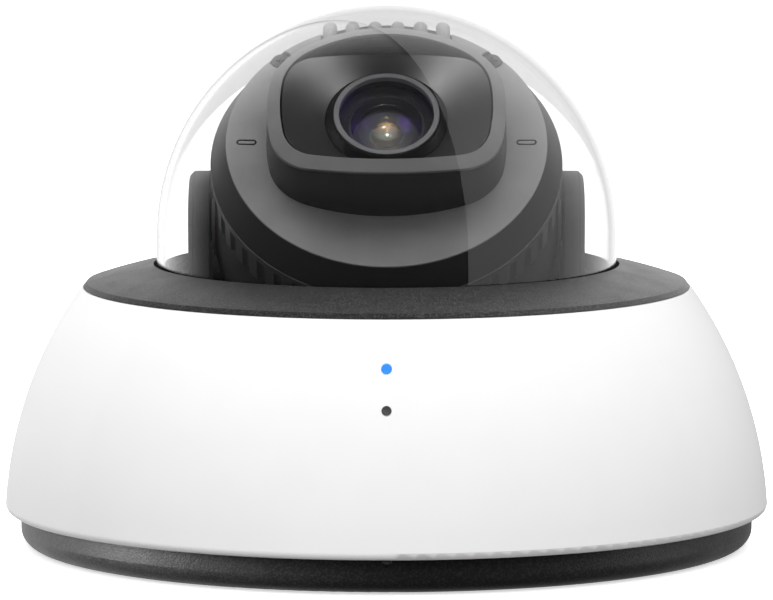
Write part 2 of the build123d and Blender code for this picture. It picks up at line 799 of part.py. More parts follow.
def hood_outline(inset=0.0):
    """The hood's bowed rectangle with round corners, as a sketch about the lens axis."""
    x = hood_corner_x
    y = hood_corner_y
    with BuildLine() as outline:
        ThreePointArc((-x, -y), (0, -hood_half_height), (x, -y))
        ThreePointArc((x, -y), (hood_half_width, 0), (x, y))
        ThreePointArc((x, y), (0, hood_half_height), (-x, y))
        ThreePointArc((-x, y), (-hood_half_width, 0), (-x, -y))
    with BuildSketch(mode=Mode.PRIVATE) as shape:
        make_face(outline.edges())
        fillet(shape.vertices(), hood_corner_radius)
        if inset:
            offset(amount=-inset, mode=Mode.REPLACE)
    add(shape.sketch)


with BuildPart() as face_cover:
    profile = [
        (cap_bottom_radius, cap_bottom),
        (cap_top_radius, cap_top),
        (0, cap_top),
        (0, cap_top - cap_wall),
        (cap_top_radius - cap_wall, cap_top - cap_wall),
        (cap_bottom_radius - cap_wall, cap_bottom),
    ]
    turn_head(profile)
    with BuildSketch(head.offset(cap_bottom)):
        with Locations((-face_screw_x, face_screw_y), (face_screw_x, face_screw_y)):
            Circle(face_screw_pocket)
    extrude(amount=cap_top - cap_bottom - face_screw_depth)
    with BuildSketch(head.offset(cap_top)):
        hood_outline(inset=hood_wall + 1.0)
    extrude(amount=-cap_wall, mode=Mode.SUBTRACT)
    with BuildSketch(head.offset(cap_top)):
        with Locations((-face_screw_x, face_screw_y), (face_screw_x, face_screw_y)):
            Circle(face_screw_pocket)
    extrude(amount=-face_screw_depth, mode=Mode.SUBTRACT)
    with BuildSketch(head.offset(cap_bottom)):
        with Locations((-face_screw_x, face_screw_y), (face_screw_x, face_screw_y)):
            Circle(m2_hole + 0.1)
    extrude(amount=cap_top - cap_bottom, mode=Mode.SUBTRACT)
    with BuildSketch(head.offset(cap_top)):
        with Locations((-index_mark_x, 0), (index_mark_x, 0)):
            SlotOverall(index_mark_length, index_mark_width)
            inner_width = index_mark_width - 2 * index_mark_line
            SlotOverall(index_mark_length - 2 * index_mark_line, inner_width, mode=Mode.SUBTRACT)
    extrude(amount=-index_mark_depth, mode=Mode.SUBTRACT)
    with BuildSketch(head.offset(cap_top)):
        with Locations((0, hood_half_height + moving_gap)):
            Rectangle(rib_recess_width, 20, align=(Align.CENTER, Align.MIN))
    extrude(amount=-rib_recess_depth, mode=Mode.SUBTRACT)
    rib_length = cap_top_radius - hood_half_height - 1.5
    for index in range(rib_count):
        rib_x = (index - (rib_count - 1) / 2) * rib_pitch
        rib_start = (rib_x, hood_half_height + moving_gap, cap_top)
        rib_plane = Plane(
            origin=head.from_local_coords(rib_start),
            x_dir=(1, 0, 0),
            z_dir=head.y_dir,
        )
        with Locations(rib_plane.location):
            Cylinder(rib_radius, rib_length, align=base_up)
            with Locations((0, 0, rib_length)):
                Sphere(rib_radius)
write(face_cover, "face_cover")

with BuildPart() as face_screws:
    screw_seat = cap_top - face_screw_depth
    seats = [head_plane(side * face_screw_x, face_screw_y, screw_seat) for side in (-1, 1)]
    screws(seats, length=9)
write(face_screws, "face_screws")

# ----------------------------------------------------------------------------------------------
# Hood and window
# ----------------------------------------------------------------------------------------------
with BuildPart() as hood:
    with BuildSketch(head.offset(cap_top)):
        hood_outline()
    with BuildSketch(head.offset(hood_top)):
        hood_outline(inset=hood_draft)
    loft()
    with BuildSketch(head.offset(cap_top - 1)):
        hood_outline(inset=hood_wall)
    with BuildSketch(head.offset(hood_top + 1)):
        hood_outline(inset=hood_wall + hood_draft)
    loft(mode=Mode.SUBTRACT)
    with Locations(head.location):
        Sphere(hood_sphere, mode=Mode.INTERSECT)
write(hood, "hood")

window_inset = hood_wall + hood_draft + static_gap
with BuildPart() as window:
    with BuildSketch(head.offset(window_centre - window_thickness)):
        hood_outline(inset=window_inset)
    extrude(amount=hood_top - window_centre)
    with Locations(head.location):
        Sphere(hood_sphere - moving_gap, mode=Mode.INTERSECT)
    dish = [
        (0, window_centre),
        (barrel_radius, window_centre),
        (hood_half_width, window_edge),
        (hood_half_width, hood_top),
        (0, hood_top),
    ]
    turn_head(dish, mode=Mode.SUBTRACT)
    turn_head(band(0, barrel_radius + static_gap, 0, hood_top), mode=Mode.SUBTRACT)
write(window, "window")

with BuildPart() as infrared_board:
    with BuildSketch(head.offset(cap_top)):
        hood_outline(inset=hood_wall + 1.0 + static_gap)
        Circle(barrel_radius + 0.5, mode=Mode.SUBTRACT)
    extrude(amount=-1.2)
write(infrared_board, "infrared_board")

with BuildPart() as infrared_lights:
    for angle in infrared_angles:
        x, y = around(infrared_circle, angle)
        with Locations(head_plane(x, y, cap_top).location):
            Box(2.4, 2.4, 0.8, align=base_up)
            Cylinder(1.0, 1.4, align=base_up)
write(infrared_lights, "infrared_lights")

# ----------------------------------------------------------------------------------------------
# Lens
# ----------------------------------------------------------------------------------------------
barrel_bore = barrel_radius - barrel_wall
with BuildPart() as lens_barrel:
    profile = [
        (barrel_bore - 2.5, holder_front),
        (barrel_radius, holder_front),
        (barrel_radius, barrel_shoulder),
        (bezel_radius + 0.3, bezel_top - 0.4),
        (bezel_radius, bezel_top - 0.4),
        (bezel_radius, bezel_top - 1.2),
        (barrel_bore, bezel_top - 1.2),
        (barrel_bore, front_glass_top - 4.6),
        (barrel_bore - 2.5, front_glass_top - 4.6),
    ]
    turn_head(profile)
write(lens_barrel, "lens_barrel")

with BuildPart() as lens_bezel:
    profile = [
        (bezel_bore, bezel_top - 1.1),
        (bezel_radius - static_gap, bezel_top - 1.1),
        (bezel_radius - static_gap, bezel_top - 0.1),
        (bezel_radius - 0.2, bezel_top),
        (bezel_bore + 0.1, bezel_top),
        (bezel_bore, bezel_top - 0.1),
    ]
    turn_head(profile)
write(lens_bezel, "lens_bezel")

front_glass_foot = front_glass_top - 4.5
with BuildPart() as front_glass:
    turn_head(band(0, front_glass_radius, front_glass_foot, front_glass_top))
    with Locations(head.offset(front_glass_top - front_glass_curve).location):
        Sphere(front_glass_curve, mode=Mode.INTERSECT)
    with Locations(head.offset(front_glass_top - front_glass_centre - back_glass_curve).location):
        Sphere(back_glass_curve, mode=Mode.SUBTRACT)
write(front_glass, "front_glass")

second_top = front_glass_top - 5.0
with BuildPart() as lens_spacer:
    profile = [
        (front_glass_bore - 0.6, second_top - 0.1),
        (barrel_bore - 2.6, second_top - 0.1),
        (barrel_bore - 2.6, second_top - 3.5),
        (4.2, second_top - 3.5),
    ]
    turn_head(profile)
write(lens_spacer, "lens_spacer")

with BuildPart() as second_glass:
    with Locations(head.offset(second_glass_top - second_glass_curve).location):
        Sphere(second_glass_curve)
    with Locations(head.offset(second_top - 6.2).location):
        Cylinder(12, 12, align=base_down, mode=Mode.SUBTRACT)
    with Locations(head.offset(second_top - 6.2).location):
        Cylinder(4.8, 2.0, align=base_up)
write(second_glass, "second_glass")

with BuildPart() as iris_ring:
    turn_head(band(3.0, barrel_bore - 2.6, second_top - 7.6, second_top - 6.4))
write(iris_ring, "iris_ring")

with BuildPart() as lens_holder:
    turn_head(band(holder_bore, holder_radius, sensor_board_w + sensor_board_thickness, holder_front))
    with Locations(head.location):
        Box(60, 12.6, 1.8, align=base_up, mode=Mode.SUBTRACT)
write(lens_holder, "lens_holder")

with BuildPart() as filter_slide:
    with Locations(head_plane(-filter_travel / 2, 0, 0.3).location):
        Box(22, 12, 1.2, align=base_up)
        with GridLocations(filter_travel, 0, 2, 1):
            Box(8, 8, 3, mode=Mode.SUBTRACT)
write(filter_slide, "filter_slide")

with BuildPart() as filter_glass:
    with Locations(head_plane(-filter_travel, 0, 0.5).location):
        Box(7.9, 7.9, 0.6, align=base_up)
    with Locations(head_plane(0, 0, 0.5).location):
        Box(7.9, 7.9, 0.6, align=base_up)
write(filter_glass, "filter_glass")

zoom_top = holder_front - zoom_travel - 0.7
with BuildPart() as zoom_group:
    turn_head(band(zoom_bore, holder_bore - moving_gap, zoom_top - zoom_length, zoom_top))
write(zoom_group, "zoom_group")

with BuildPart() as zoom_glass:
    turn_head(band(0, zoom_bore - static_gap, zoom_top - zoom_length + 1, zoom_top - 1))
    fillet(edges().filter_by(GeomType.CIRCLE), 0.8)
write(zoom_glass, "zoom_glass")

with BuildPart() as sensor_board:
    with BuildSketch(head.offset(sensor_board_w)):
        Circle(sensor_board_radius)
    extrude(amount=sensor_board_thickness)
write(sensor_board, "sensor_board")

with BuildPart() as image_sensor:
    with Locations(head.offset(sensor_board_w + sensor_board_thickness).location):
        Box(sensor_side, sensor_side, sensor_height, align=base_up)
write(image_sensor, "image_sensor")

# ----------------------------------------------------------------------------------------------
# Skirt: the white cover shell
# ----------------------------------------------------------------------------------------------
shelf_bottom = shelf_z - shelf_thickness
ledge_z = base_height + cover_gasket_height + static_gap
with BuildPart() as skirt:
    with BuildSketch(Plane.XZ):
        with BuildLine():
            middle = (skirt_lip_z + skirt_top_z) / 2
            inside_middle = (skirt_lip_z + shelf_bottom) / 2
            ThreePointArc(
                (skirt_radius(skirt_lip_z), skirt_lip_z),
                (skirt_radius(middle), middle),
                (skirt_radius(skirt_top_z), skirt_top_z),
            )
            Polyline(
                (skirt_radius(skirt_top_z), skirt_top_z),
                (trim_seat_radius, skirt_top_z),
                (trim_seat_radius, shelf_z),
                (shelf_bore, shelf_z),
                (shelf_bore, shelf_bottom),
                (skirt_radius(shelf_bottom, skirt_wall), shelf_bottom),
            )
            ThreePointArc(
                (skirt_radius(shelf_bottom, skirt_wall), shelf_bottom),
                (skirt_radius(inside_middle, skirt_wall), inside_middle),
                (skirt_radius(skirt_lip_z, skirt_wall), skirt_lip_z),
            )
            lip_inside = skirt_radius(skirt_lip_z, skirt_wall)
            Line((lip_inside, skirt_lip_z), (skirt_radius(skirt_lip_z), skirt_lip_z))
        make_face()
        fillet(vertices().sort_by(Axis.Y)[:2].sort_by(Axis.X)[-1], skirt_lip_rounding)
    revolve(axis=Axis.Z)
    rib_outer = skirt_radius(ledge_z + 2, skirt_wall) + 0.8
    turn(band(wall_inside + 0.5, rib_outer, ledge_z, ledge_z + 2))
    hole_start = trim_seat_radius
    hole_length = skirt_radius(mic_z) + 1 - hole_start
    with Locations(Plane(origin=(0, -hole_start, light_z), z_dir=(0, -1, 0)).location):
        Cylinder(light_radius + static_gap, hole_length, align=base_up, mode=Mode.SUBTRACT)
    with Locations(Plane(origin=(0, -hole_start, mic_z), z_dir=(0, -1, 0)).location):
        Cylinder(mic_hole, hole_length, align=base_up, mode=Mode.SUBTRACT)
        Cylinder(mic_seat, hole_length - 1 - mic_skin, align=base_up, mode=Mode.SUBTRACT)
    with BuildSketch(Plane.XY.offset(shelf_bottom)):
        for angle in trim_screw_angles:
            with Locations(around(trim_screw_circle, angle)):
                Circle(m2_hole + 0.1)
    extrude(amount=shelf_thickness, mode=Mode.SUBTRACT)
write(skirt, "skirt")

with BuildPart() as light_pipe:
    pipe_inside = -status_board_y + 3.0
    with Locations(Plane(origin=(0, -pipe_inside, light_z), z_dir=(0, -1, 0)).location):
        Cylinder(light_radius, skirt_radius(light_z) - pipe_inside, align=base_up)
        Cylinder(1.7, 1.2, align=base_up)
write(light_pipe, "light_pipe")

with BuildPart() as mic_mesh:
    mesh_front = -skirt_radius(mic_z) + mic_skin + static_gap
    with Locations(Plane(origin=(0, mesh_front, mic_z), z_dir=(0, 1, 0)).location):
        Cylinder(mic_seat - static_gap, 0.4, align=base_up)
write(mic_mesh, "mic_mesh")

# ----------------------------------------------------------------------------------------------
# Bubble, its gasket, and the trim ring that clamps it
# ----------------------------------------------------------------------------------------------
gasket_top = shelf_z + gasket_thickness
flange_top = gasket_top + bubble_flange_thickness
with BuildPart() as bubble:
    with BuildSketch(Plane.XZ):
        with BuildLine():
            bubble_top = bubble_centre_z + bubble_radius
            RadiusArc((bubble_radius, bubble_centre_z), (0, bubble_top), -bubble_radius)
            Line((0, bubble_top), (0, bubble_top - bubble_wall))
            RadiusArc((0, bubble_top - bubble_wall), (bubble_inside, bubble_centre_z), bubble_inside)
            Polyline(
                (bubble_inside, bubble_centre_z),
                (bubble_inside, gasket_top),
                (bubble_flange, gasket_top),
                (bubble_flange, flange_top),
                (bubble_radius, flange_top),
                (bubble_radius, bubble_centre_z),
            )
        make_face()
    revolve(axis=Axis.Z)
write(bubble, "bubble")

with BuildPart() as bubble_gasket:
    turn(band(shelf_bore + 0.4, bubble_flange - 0.2, shelf_z, gasket_top))
write(bubble_gasket, "bubble_gasket")

trim_slope = (trim_inner_z - trim_shoulder_z) / (trim_shoulder_radius - trim_inner)
boss_bottom = shelf_z + static_gap


def trim_under(radius):
    """Height of the trim ring's underside at a radius, one wall below its top."""
    return trim_inner_z - (radius - trim_inner) * trim_slope - trim_wall


with BuildPart() as trim_ring:
    with BuildSketch(Plane.XZ):
        with BuildLine():
            half_radius = (trim_shoulder_radius + trim_inner) / 2
            half_z = (trim_shoulder_z + trim_inner_z) / 2 + trim_bulge
            spigot = trim_seat_radius - static_gap
            ThreePointArc(
                (trim_shoulder_radius, trim_shoulder_z),
                (half_radius, half_z),
                (trim_inner, trim_inner_z),
            )
            Polyline(
                (trim_inner, trim_inner_z),
                (trim_inner, flange_top),
                (trim_inner + 2.3, flange_top),
                (trim_inner + 2.3, trim_under(trim_inner + 2.3)),
                (spigot - 1.8, trim_under(spigot - 1.8)),
                (spigot - 1.8, boss_bottom),
                (spigot, boss_bottom),
                (spigot, skirt_top_z + static_gap),
                (trim_outer, skirt_top_z + static_gap),
                (trim_shoulder_radius, trim_shoulder_z),
            )
        make_face()
    revolve(axis=Axis.Z)
    with BuildSketch(Plane.XY.offset(boss_bottom)):
        for angle in trim_screw_angles:
            with Locations(around(trim_screw_circle, angle)):
                Circle(trim_boss)
    extrude(amount=trim_under(trim_screw_circle) + 0.5 - boss_bottom)
    with BuildSketch(Plane.XY.offset(boss_bottom)):
        for angle in trim_screw_angles:
            with Locations(around(trim_screw_circle, angle)):
                Circle(m2_hole)
    extrude(amount=3.6, mode=Mode.SUBTRACT)
write(trim_ring, "trim_ring")

with BuildPart() as trim_screws:
    seats = []
    for angle in trim_screw_angles:
        x, y = around(trim_screw_circle, angle)
        seats.append(Plane(origin=(x, y, shelf_bottom), z_dir=(0, 0, -1)))
    screws(seats, length=shelf_thickness + 3.4)
write(trim_screws, "trim_screws")
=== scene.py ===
import json
import math

import bpy
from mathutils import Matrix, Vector

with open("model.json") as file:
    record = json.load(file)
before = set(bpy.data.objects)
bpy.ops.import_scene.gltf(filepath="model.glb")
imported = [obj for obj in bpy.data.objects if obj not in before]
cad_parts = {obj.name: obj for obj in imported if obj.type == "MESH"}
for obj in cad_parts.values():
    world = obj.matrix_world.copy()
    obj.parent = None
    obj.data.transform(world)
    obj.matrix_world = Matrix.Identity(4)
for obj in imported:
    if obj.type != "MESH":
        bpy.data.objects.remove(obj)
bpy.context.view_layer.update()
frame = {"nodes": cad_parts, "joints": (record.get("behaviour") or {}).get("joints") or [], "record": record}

# The looks of a fixed dome security camera. Units are metres, +Z is up, the lens looks towards -Y.
MM = 0.001
scene = bpy.context.scene
nodes = frame["nodes"]
joints = {joint["name"]: joint for joint in frame["joints"]}
slot_of = {part["node"]: part["material_slot"] for part in frame["record"]["subparts"]}

# The head's own frame: the tilt pivot and the lens axis
pivot = Vector(joints["image_turn"]["pos_m"])
lens_axis = Vector(joints["image_turn"]["axis"]).normalized()
WHITE = (1, 1, 1)


# ----------------------------------------------------------------------------------------------
# Materials
# ----------------------------------------------------------------------------------------------
class Nodes:
    """A node tree that is built up by short calls."""

    def __init__(self, tree):
        self.tree = tree

    def node(self, kind, **inputs):
        made = self.tree.nodes.new(kind)
        for name, value in inputs.items():
            self.feed(made.inputs[name.replace("_", " ").title()], value)
        return made

    def feed(self, socket, value):
        if isinstance(value, bpy.types.NodeSocket):
            self.tree.links.new(value, socket)
        else:
            socket.default_value = value

    def vectors(self, operation, first, second=None):
        made = self.node("ShaderNodeVectorMath")
        made.operation = operation
        self.feed(made.inputs[0], first)
        if second is not None:
            self.feed(made.inputs[1], second)
        return made

    def maths(self, operation, first, second=0.0, clamp=False):
        made = self.tree.nodes.new("ShaderNodeMath")
        made.operation = operation
        made.use_clamp = clamp
        self.feed(made.inputs[0], first)
        self.feed(made.inputs[1], second)
        return made.outputs[0]

    def spread(self, value, low, high, start=0.3, end=0.7, smooth=False):
        """Low where value is at start or before it, high from end on."""
        made = self.node("ShaderNodeMapRange", value=value, from_min=start, from_max=end)
        self.feed(made.inputs["To Min"], low)
        self.feed(made.inputs["To Max"], high)
        if smooth:
            made.interpolation_type = "SMOOTHSTEP"
        return made.outputs[0]


class Surface(Nodes):
    """A Principled material that is built up from small procedural layers."""

    def __init__(self, name, colour, roughness, **sockets):
        self.material = bpy.data.materials.new(name)
        self.material.use_nodes = True
        super().__init__(self.material.node_tree)
        self.shader = self.tree.nodes["Principled BSDF"]
        self.place = self.tree.nodes.new("ShaderNodeTexCoord").outputs["Object"]
        self.normal = None
        self.colour = colour
        self.shader.inputs["Base Color"].default_value = (*colour, 1)
        self.shader.inputs["Roughness"].default_value = roughness
        self.roughness = roughness
        for socket, value in sockets.items():
            self.shader.inputs[socket.replace("_", " ").title().replace("Ior", "IOR")].default_value = value

    def noise(self, size, detail=3.0, stretch=(1, 1, 1)):
        """A noise factor whose features are about size across, longer where stretch is small."""
        mapping = self.node("ShaderNodeMapping", vector=self.place, scale=stretch)
        made = self.node("ShaderNodeTexNoise", vector=mapping.outputs[0], scale=1 / size, detail=detail)
        return made.outputs["Fac"]

    def cells(self, size):
        """A factor that is 0 in the middle of each random cell and grows towards its border."""
        return self.node("ShaderNodeTexVoronoi", vector=self.place, scale=1 / size).outputs["Distance"]

    def mixed(self, factor, first, second):
        made = self.tree.nodes.new("ShaderNodeMix")
        made.data_type = "RGBA"
        self.tree.links.new(factor, made.inputs["Factor"])
        for value, socket in ((first, made.inputs["A"]), (second, made.inputs["B"])):
            if isinstance(value, bpy.types.NodeSocket):
                self.tree.links.new(value, socket)
            else:
                socket.default_value = (*value[:3], 1)
        return made.outputs["Result"]

    def mottle(self, size, amount, roughness=0.0, stretch=(1, 1, 1)):
        """Slow variation of colour by a share, and of roughness by a number."""
        cloud = self.noise(size, stretch=stretch)
        darker = [channel * (1 - amount) for channel in self.colour]
        lighter = [channel * (1 + amount) for channel in self.colour]
        tint = self.mixed(self.spread(cloud, 0, 1), darker, lighter)
        self.tree.links.new(tint, self.shader.inputs["Base Color"])
        if roughness:
            level = self.spread(cloud, self.roughness - roughness, self.roughness + roughness)
            self.tree.links.new(level, self.shader.inputs["Roughness"])
        return self

    def speckle(self, size, colour, start=0.62, end=0.72):
        """Fine flecks of another colour over what is there."""
        base = self.shader.inputs["Base Color"]
        under = base.links[0].from_socket if base.is_linked else self.colour
        fleck = self.spread(self.noise(size, detail=2), 0, 1, start, end)
        self.tree.links.new(self.mixed(fleck, under, colour), base)
        return self

    def grain(self, size, depth, detail=2.0, stretch=(1, 1, 1)):
        """Fine relief, size across and depth high."""
        return self.relief(self.noise(size, detail, stretch), depth)

    def relief(self, height, depth):
        made = self.node("ShaderNodeBump", height=height, strength=1.0, distance=depth)
        if self.normal is not None:
            self.tree.links.new(self.normal, made.inputs["Normal"])
        self.normal = made.outputs[0]
        self.tree.links.new(self.normal, self.shader.inputs["Normal"])
        return self

    def soft_edges(self, radius):
        """Edges catch the light as if rounded by radius."""
        made = self.tree.nodes.new("ShaderNodeBevel")
        made.samples = 4
        made.inputs["Radius"].default_value = radius
        self.normal = made.outputs[0]
        self.tree.links.new(self.normal, self.shader.inputs["Normal"])
        return self

    def below(self, limit, colour, roughness, radial=False):
        """Another colour and roughness below a height along the lens axis, or inside a sphere about the tilt
        pivot.
        """
        blur = 0.08 * MM
        offset = self.vectors("SUBTRACT", self.place, pivot)
        height = self.vectors("LENGTH" if radial else "DOT_PRODUCT", offset.outputs[0], lens_axis)
        inside = self.spread(height.outputs["Value"], 1, 0, limit - blur, limit + blur)
        base = self.shader.inputs["Base Color"]
        gloss = self.shader.inputs["Roughness"]
        under = base.links[0].from_socket if base.is_linked else self.colour
        self.tree.links.new(self.mixed(inside, under, colour), base)
        rough = gloss.links[0].from_socket if gloss.is_linked else self.roughness
        self.tree.links.new(self.spread(inside, rough, roughness, 0, 1), gloss)
        return self

    def lamps_pass(self, share=1.0):
        """Light from lamps reaches what is behind this glass."""
        output = self.tree.nodes["Material Output"]
        clear = self.node("ShaderNodeBsdfTransparent", color=(share, share, share, 1))
        path = self.tree.nodes.new("ShaderNodeLightPath")
        choice = self.tree.nodes.new("ShaderNodeMixShader")
        self.tree.links.new(path.outputs["Is Shadow Ray"], choice.inputs[0])
        self.tree.links.new(self.shader.outputs[0], choice.inputs[1])
        self.tree.links.new(clear.outputs[0], choice.inputs[2])
        self.tree.links.new(choice.outputs[0], output.inputs["Surface"])
        return self


def corners_of(name):
    return [corner.co - pivot for corner in nodes[name].data.vertices]


def moulded(name, colour, roughness, grain=0.25 * MM, depth=0.02 * MM, edge=0.2 * MM, vary=0.10, **sockets):
    """Injection-moulded plastic with an eroded texture."""
    surface = Surface(name, colour, roughness, **sockets)
    if edge:
        surface.soft_edges(edge)
    surface.mottle(9 * MM, vary, 0.04).grain(grain, depth, detail=3)
    return surface.grain(2.5 * MM, depth * 0.8)


def glass(name, tint, index, **sockets):
    surface = Surface(name, tint, 0.0, transmission_weight=1.0, ior=index, **sockets)
    return surface.lamps_pass(0.9)


def circuit_board():
    green = (0.006, 0.035, 0.02)
    trace = (0.014, 0.08, 0.045)
    tin = (0.55, 0.5, 0.38)
    surface = Surface("circuit_board", green, 0.35, coat_weight=0.4)
    bricks = surface.tree.nodes.new("ShaderNodeTexBrick")
    surface.tree.links.new(surface.place, bricks.inputs["Vector"])
    bricks.inputs["Scale"].default_value = 1 / (9 * MM)
    bricks.inputs["Mortar Size"].default_value = 0.03
    traces = bricks.outputs["Fac"]
    masked = surface.mixed(traces, green, trace)
    pads = surface.spread(surface.cells(2.6 * MM), 1, 0, 0.10, 0.14)
    tinned = surface.mixed(pads, masked, tin)
    surface.tree.links.new(tinned, surface.shader.inputs["Base Color"])
    return surface.relief(traces, 0.03 * MM).grain(0.4 * MM, 0.004 * MM)


def brushed(name, colour, roughness):
    surface = Surface(name, colour, roughness, metallic=1.0)
    surface.soft_edges(0.12 * MM).mottle(3 * MM, 0.12, 0.08)
    return surface.grain(0.15 * MM, 0.006 * MM, stretch=(1, 12, 1))


def make_materials():
    made = {
        "white_shell": moulded("white_shell", (0.80, 0.80, 0.80), 0.38, 0.2 * MM, 0.002 * MM, 0, 0.006),
        "black_shell": moulded("black_shell", (0.016, 0.016, 0.017), 0.5, 0.42 * MM, 0.06 * MM),
        "trim": moulded("trim", (0.007, 0.007, 0.0074), 0.5, 0.22 * MM, 0.025 * MM),
        "face": moulded("face", (0.21, 0.21, 0.21), 0.6, 0.2 * MM, 0.012 * MM, 0.12 * MM),
        "grip": moulded("grip", (0.09, 0.09, 0.09), 0.4, 0.2 * MM, 0.01 * MM),
        "hood": moulded("hood", (0.17, 0.17, 0.17), 0.4, 0.18 * MM, 0.006 * MM, 0.25 * MM),
        "window": Surface("window", (0.012, 0.012, 0.0125), 0.4),
        "black_frame": moulded("black_frame", (0.05, 0.05, 0.051), 0.38, 0.25 * MM, 0.012 * MM, 0.5 * MM),
        "barrel": moulded("barrel", (0.006, 0.006, 0.006), 0.35, 0.2 * MM, 0.006 * MM, 0.1 * MM),
        "bezel": moulded("bezel", (0.13, 0.13, 0.135), 0.4, 0.15 * MM, 0.004 * MM, 0.08 * MM),
        "seal": moulded("seal", (0.012, 0.012, 0.012), 0.8, 0.6 * MM, 0.02 * MM),
        "chip": moulded("chip", (0.02, 0.02, 0.022), 0.55, 0.3 * MM, 0.01 * MM, 0.1 * MM),
        "washer": moulded("washer", (0.55, 0.53, 0.48), 0.45, 0.3 * MM, 0.004 * MM),
        "screw": brushed("screw", (0.55, 0.55, 0.56), 0.32),
        "face_screw": brushed("face_screw", (0.3, 0.3, 0.305), 0.4),
        "spreader": brushed("spreader", (0.72, 0.73, 0.74), 0.36),
        "mesh": Surface("mesh", (0.25, 0.25, 0.25), 0.5, metallic=0.6),
        "circuit_board": circuit_board(),
        "clear_bubble": glass("clear_bubble", (0.86, 0.86, 0.86), 1.49),
        "front_lens": glass("front_lens", WHITE, 1.6, coat_weight=1.0, coat_roughness=0.16),
        "inner_lens": glass("inner_lens", WHITE, 1.7, coat_weight=1.0, coat_roughness=0.17),
        "light": Surface("light", (0.05, 0.3, 0.9), 0.3),
    }
    made["window"].mottle(9 * MM, 0.1, 0.02).grain(8 * MM, 0.004 * MM)
    made["black_shell"].speckle(0.4 * MM, (0.04, 0.04, 0.041), 0.48, 0.62)
    made["trim"].speckle(0.32 * MM, (0.042, 0.042, 0.043), 0.5, 0.62)
    made["face"].speckle(0.25 * MM, (0.26, 0.26, 0.26), 0.58, 0.7)
    cap_top = min(corner.dot(lens_axis) for corner in corners_of("hood"))
    rim = max(corner.length for corner in corners_of("hood"))
    # Below the level where the hood stands on the face, the face is coloured near-black and less rough.
    made["face"].below(cap_top - 0.2 * MM, (0.018, 0.018, 0.018), 0.5)
    # Painted shade: inside the outer 0.4 mm of its rim the hood is coloured near-black for the shade its
    # down-facing side wall gets; the wall is also made glossier than the rim.
    made["hood"].below(rim - 0.4 * MM, (0.012, 0.012, 0.012), 0.25, radial=True)
    made["mesh"].relief(made["mesh"].cells(0.3 * MM), 0.1 * MM)
    lamp = made["light"].shader
    lamp.inputs["Emission Color"].default_value = (0.02, 0.13, 0.8, 1)
    lamp.inputs["Emission Strength"].default_value = 1.0
    return {slot: surface.material for slot, surface in made.items()}


materials = make_materials()


def dress(piece, slot):
    """Give a piece the finish of one of the record's material slots."""
    piece.data.materials.clear()
    piece.data.materials.append(materials[slot])


for name, node in nodes.items():
    dress(node, slot_of[name])


# ----------------------------------------------------------------------------------------------
# Floor, world, lights and camera
# ----------------------------------------------------------------------------------------------
def look_at(thing, target):
    direction = Vector(target) - thing.location
    thing.rotation_mode = "QUATERNION"
    thing.rotation_quaternion = direction.to_track_quat("-Z", "Y")


# The light wall at the right, seen only in reflections: its direction and the half angle that it fills
WALL_SIDE = Vector((0.901, 0.433, 0.018))
WALL_ANGLE = math.radians(75.3)
WALL_BLUR = 0.02
WALL_SHARE = 0.45           # of the wall behind that is left where the light wall covers it
CENTRE = Vector((0, 0, pivot.z))


def make_floor(half=6.0):
    """White paper to the camera. Scattered and reflected rays pass through it, so it lights nothing."""
    mesh = bpy.data.meshes.new("floor")
    level = -0.2 * MM
    corners = [(-half, -half, level), (half, -half, level), (half, half, level), (-half, half, level)]
    mesh.from_pydata(corners, [], [(0, 1, 2, 3)])
    floor = bpy.data.objects.new("floor", mesh)
    scene.collection.objects.link(floor)
    paper = Surface("floor", (0.92, 0.92, 0.92), 0.9, emission_color=(1, 1, 1, 1))
    paper.mottle(120 * MM, 0.01).grain(2 * MM, 0.01 * MM)
    distance = paper.vectors("LENGTH", paper.place)
    glow = paper.spread(distance.outputs["Value"], low=0.6, high=1.1, start=0.08, end=0.3)
    paper.tree.links.new(glow, paper.shader.inputs["Emission Strength"])
    path = paper.node("ShaderNodeLightPath").outputs
    unseen = paper.maths("ADD", path["Glossy Depth"], path["Diffuse Depth"], clamp=True)
    choice = paper.node("ShaderNodeMixShader")
    paper.tree.links.new(unseen, choice.inputs[0])
    paper.tree.links.new(paper.shader.outputs[0], choice.inputs[1])
    clear = paper.node("ShaderNodeBsdfTransparent")
    output = paper.tree.nodes["Material Output"]
    paper.tree.links.new(clear.outputs[0], choice.inputs[2])
    paper.tree.links.new(choice.outputs[0], output.inputs["Surface"])
    mesh.materials.append(paper.material)
    floor.visible_glossy = False


